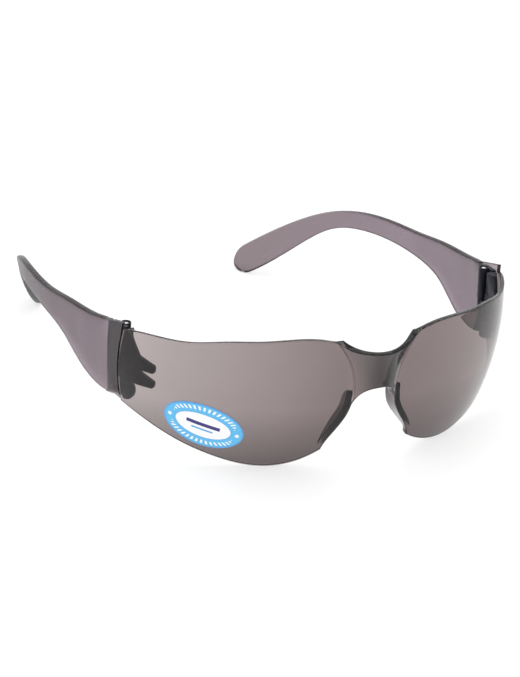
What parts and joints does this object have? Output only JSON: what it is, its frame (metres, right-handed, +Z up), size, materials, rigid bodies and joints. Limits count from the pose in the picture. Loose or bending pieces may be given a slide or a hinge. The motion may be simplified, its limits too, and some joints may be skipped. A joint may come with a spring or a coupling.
{
  "type": "safety glasses",
  "caption": "Unframed wraparound safety glasses with a one-piece tinted lens, moulded nose flanges and folding temples on pinned hinges.",
  "frame": {"origin": "on the surface that the open glasses stand on, under the middle of the space they fill", "axes": "+X to the wearer's left, +Y back towards the ears, +Z up"},
  "size_m": [0.1436, 0.1815, 0.0461],
  "materials": {
    "smoke_lens": "clear gloss, smoke grey tint",
    "smoke_temple": "frosted translucent, smoke grey",
    "black_hinge": "satin moulded",
    "pin_steel": "plain",
    "label_film": "printed film"
  },
  "bodies": {
    "front": {"lens": "smoke_lens", "hinge_fork_left": "black_hinge", "hinge_fork_right": "black_hinge", "hinge_pin_left": "pin_steel", "hinge_pin_right": "pin_steel", "label": "label_film"},
    "left_temple": {"temple_left": "smoke_temple", "temple_hinge_left": "black_hinge"},
    "right_temple": {"temple_right": "smoke_temple", "temple_hinge_right": "black_hinge"}
  },
  "joints": [
    {"name": "left_fold", "type": "hinge", "parent": "front", "child": "left_temple", "pos_m": [0.066, -0.0398, 0.0361], "axis": [0, 0, 1], "range_deg": [0, 84]},
    {"name": "right_fold", "type": "hinge", "parent": "front", "child": "right_temple", "pos_m": [-0.066, -0.0398, 0.0361], "axis": [0, 0, -1], "range_deg": [0, 75]}
  ]
}
